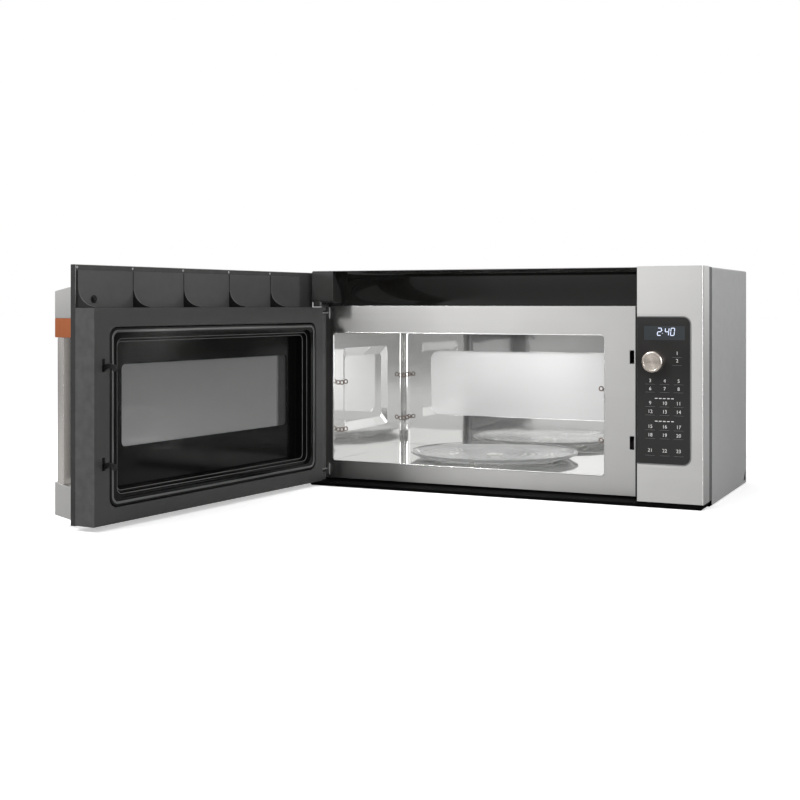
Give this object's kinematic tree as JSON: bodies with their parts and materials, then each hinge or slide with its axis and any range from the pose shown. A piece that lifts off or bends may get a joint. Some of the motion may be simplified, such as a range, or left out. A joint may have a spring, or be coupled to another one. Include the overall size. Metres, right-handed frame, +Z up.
{
  "type": "over the range microwave",
  "caption": "Over-the-range microwave hood with a side-hinged door, hooked latch, dial control, glass turntable, vent blower, damper and lift-out grease filters.",
  "frame": {"origin": "centre of the wall plate's rear face, on the wall", "axes": "+X to the right seen from the room, +Y into the wall, +Z up"},
  "size_m": [0.8863, 0.9993, 0.414],
  "materials": {
    "case_paint": "satin grey paint",
    "galvanised": "zinc coated sheet",
    "stainless": "brushed stainless",
    "liner": "polished stainless",
    "black_paint": "black enamel",
    "grille_black": "gloss charcoal",
    "door_grey": "satin charcoal",
    "door_black": "gloss black",
    "clear_glass": "clear",
    "dark_glass": "dark",
    "screen_steel": "perforated and painted",
    "copper": "satin copper colour",
    "white_plastic": "moulded",
    "grey_plastic": "moulded",
    "pcb": "circuit board",
    "aluminium": "mill",
    "bright": "bright"
  },
  "bodies": {
    "case": {"outer_case": "case_paint", "rear_panel": "galvanised", "wall_plate": "galvanised", "cord_gland": "door_black", "base_pan": "black_paint", "surface_lamp_covers": "clear_glass", "oven_cavity": "liner", "cavity_front_plate": "stainless", "waveguide_cover": "white_plastic", "rack_clips": "bright", "turntable_motor": "galvanised", "vent_grille": "grille_black", "grille_end_cap": "grille_black", "charcoal_filter": "grey_plastic", "control_fascia": "stainless", "control_chassis": "grey_plastic", "touch_panel": "dark_glass", "display_module": "door_black", "control_board": "pcb", "dial_encoder": "grey_plastic", "hinge_brackets": "bright", "latch_board": "white_plastic", "interlock_switches": "door_black", "blower_housing": "galvanised", "blower_motor": "galvanised", "exhaust_adaptor": "galvanised", "convection_housing": "galvanised", "convection_heater": "bright", "convection_motor": "galvanised", "cooling_fan_shroud": "galvanised", "waveguide": "galvanised", "magnetron": "aluminium", "inverter_supply": "pcb"},
    "door": {"door_skin": "stainless", "door_frame": "door_grey", "door_air_guide": "door_grey", "choke_cover": "door_grey", "window_surround": "door_black", "door_inner_glass": "clear_glass", "window_screen": "screen_steel", "door_outer_glass": "dark_glass", "handle_mounts": "stainless", "handle_band": "copper", "handle_bar": "stainless"},
    "latch": {"latch_bar": "door_black"},
    "lever": {"interlock_lever": "white_plastic"},
    "dial_sleeve": {"dial_plunger": "white_plastic"},
    "dial": {"dial_knob": "stainless"},
    "turntable": {"glass_turntable": "clear_glass", "drive_coupler": "white_plastic"},
    "ring": {"roller_ring": "white_plastic"},
    "wheel_1": {"roller_1": "white_plastic"},
    "wheel_2": {"roller_2": "white_plastic"},
    "wheel_3": {"roller_3": "white_plastic"},
    "blower": {"blower_wheels": "grey_plastic"},
    "damper": {"damper_flap": "galvanised"},
    "hot_air_fan": {"convection_fan": "galvanised"},
    "cooling_rotor": {"cooling_fan": "grey_plastic"},
    "filter_left": {"grease_filter_left": "aluminium"},
    "filter_right": {"grease_filter_right": "aluminium"}
  },
  "joints": [
    {"name": "door_hinge", "type": "hinge", "parent": "case", "child": "door", "pos_m": [-0.3721, -0.3648, 0], "axis": [0, 0, 1], "range_deg": [0, 95.7]},
    {"name": "latch_slide", "type": "slide", "parent": "door", "child": "latch", "axis": [0, 0, 1], "range_m": [0, 0.004], "stiffness_N_per_m": 400, "springref_m": -0.006},
    {"name": "lever_pivot", "type": "hinge", "parent": "case", "child": "lever", "pos_m": [0.24285, -0.306, -0.1345], "axis": [-1, 0, 0], "range_deg": [0, 8], "stiffness_Nm_per_rad": 0.02, "springref_deg": -8.59},
    {"name": "dial_press", "type": "slide", "parent": "case", "child": "dial_sleeve", "axis": [0, 1, 0], "range_m": [0, 0.0012], "stiffness_N_per_m": 1200, "springref_m": -0.001},
    {"name": "dial_spin", "type": "hinge", "parent": "dial_sleeve", "child": "dial", "pos_m": [0.2948, -0.393, 0.0434], "axis": [0, -1, 0], "continuous": true},
    {"name": "turntable_spin", "type": "hinge", "parent": "case", "child": "turntable", "pos_m": [-0.07985, -0.175, -0.155], "axis": [0, 0, 1], "continuous": true},
    {"name": "ring_spin", "type": "hinge", "parent": "case", "child": "ring", "pos_m": [-0.07985, -0.175, -0.1618], "axis": [0, 0, 1], "continuous": true},
    {"name": "wheel_1_roll", "type": "hinge", "parent": "ring", "child": "wheel_1", "pos_m": [0.02061, -0.117, -0.1618], "axis": [0.866, 0.5, 0], "continuous": true},
    {"name": "wheel_2_roll", "type": "hinge", "parent": "ring", "child": "wheel_2", "pos_m": [-0.18031, -0.117, -0.1618], "axis": [-0.866, 0.5, 0], "continuous": true},
    {"name": "wheel_3_roll", "type": "hinge", "parent": "ring", "child": "wheel_3", "pos_m": [-0.07985, -0.291, -0.1618], "axis": [0, -1, 0], "continuous": true},
    {"name": "blower_spin", "type": "hinge", "parent": "case", "child": "blower", "pos_m": [-0.0795, -0.08, 0.1366], "axis": [1, 0, 0], "continuous": true},
    {"name": "damper_swing", "type": "hinge", "parent": "case", "child": "damper", "pos_m": [-0.0795, -0.0815, 0.194], "axis": [1, 0, 0], "range_deg": [0, 75]},
    {"name": "hot_air_fan_spin", "type": "hinge", "parent": "case", "child": "hot_air_fan", "pos_m": [-0.07985, -0.222, 0.0864], "axis": [0, 0, 1], "continuous": true},
    {"name": "cooling_fan_spin", "type": "hinge", "parent": "case", "child": "cooling_rotor", "pos_m": [0.2855, -0.0349, -0.002], "axis": [0, -1, 0], "continuous": true},
    {"name": "filter_left_release", "type": "slide", "parent": "case", "child": "filter_left", "axis": [1, 0, 0], "range_m": [0, 0.0095]},
    {"name": "filter_right_release", "type": "slide", "parent": "case", "child": "filter_right", "axis": [1, 0, 0], "range_m": [0, 0.0095]}
  ],
  "couplings": [
    {"joint": "ring_spin", "follows": "turntable_spin", "ratio": 0.5},
    {"joint": "wheel_1_roll", "follows": "turntable_spin", "ratio": -8.9231},
    {"joint": "wheel_2_roll", "follows": "turntable_spin", "ratio": -8.9231},
    {"joint": "wheel_3_roll", "follows": "turntable_spin", "ratio": -8.9231}
  ]
}
